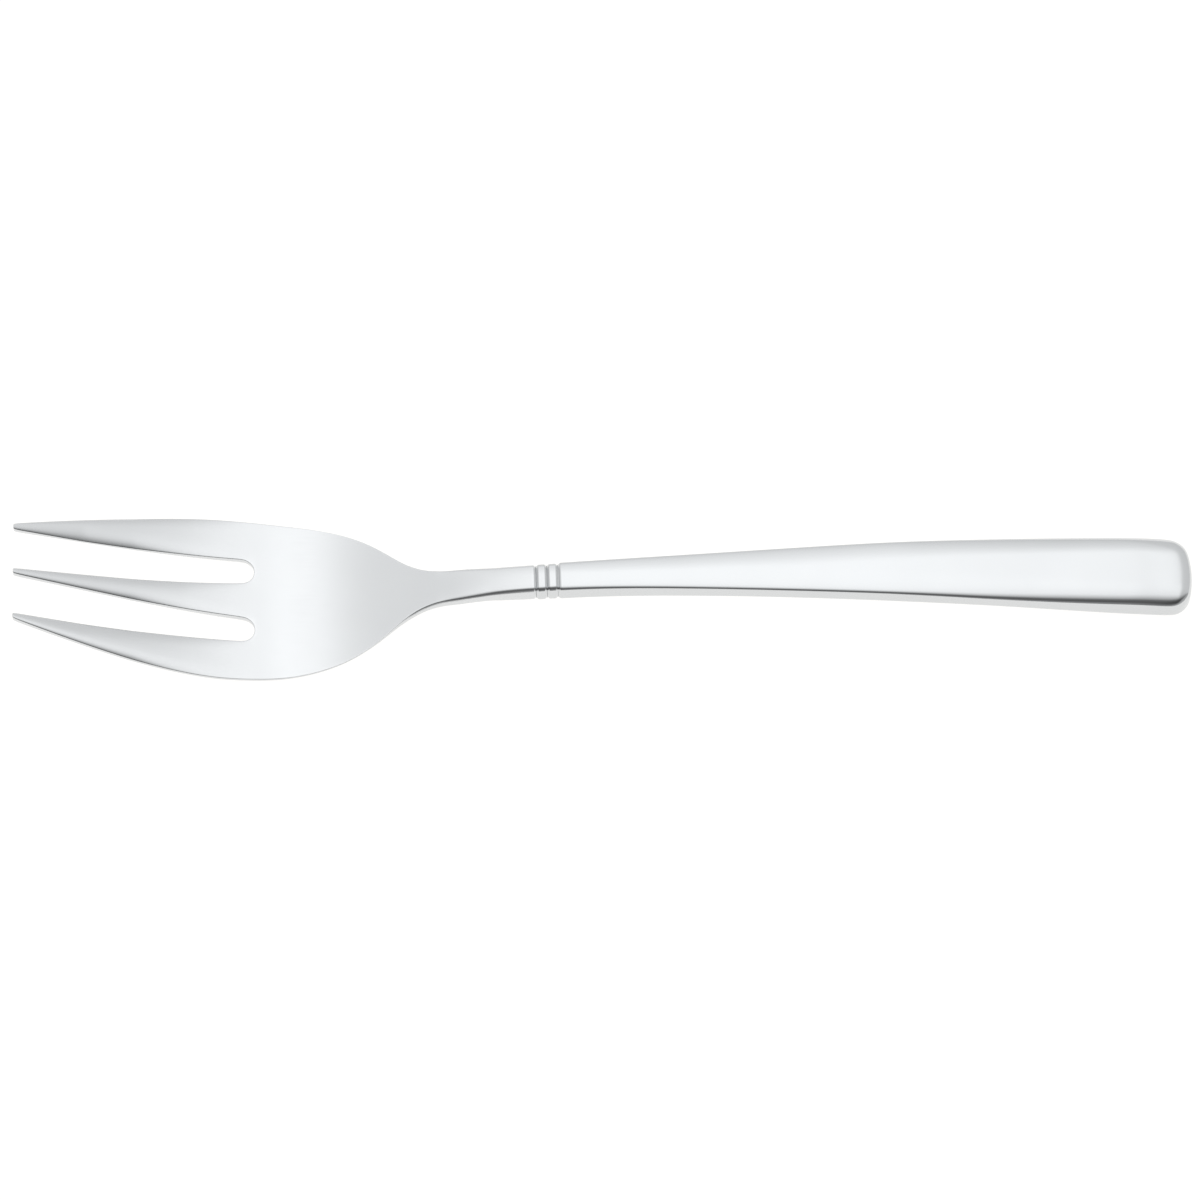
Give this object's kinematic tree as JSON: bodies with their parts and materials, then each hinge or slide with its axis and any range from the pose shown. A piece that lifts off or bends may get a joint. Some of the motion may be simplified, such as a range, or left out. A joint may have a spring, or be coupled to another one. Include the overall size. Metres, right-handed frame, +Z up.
{
  "type": "pastry fork",
  "caption": "Slim pastry fork with tapered tines on a flat bowl, a narrow neck with collar lines and a hollow, crowned handle that widens to a rounded end.",
  "frame": {"origin": "on the table under the middle of the fork, with the fork lying face up on its bowl and handle end", "axes": "+X from the tine tips towards the handle end, +Z up out of the upper face, +Y across the fork"},
  "size_m": [0.15, 0.0232, 0.0118],
  "materials": {
    "satin_steel": "fine satin brushing across the head",
    "polished_steel": "bright buffed",
    "handle_filler": "cast filler, matt"
  },
  "bodies": {
    "root": {"fork_head": "satin_steel", "front_spacer_ring": "polished_steel", "rear_spacer_ring": "polished_steel", "handle_top_shell": "polished_steel", "handle_bottom_shell": "polished_steel", "handle_core": "handle_filler"}
  },
  "joints": []
}
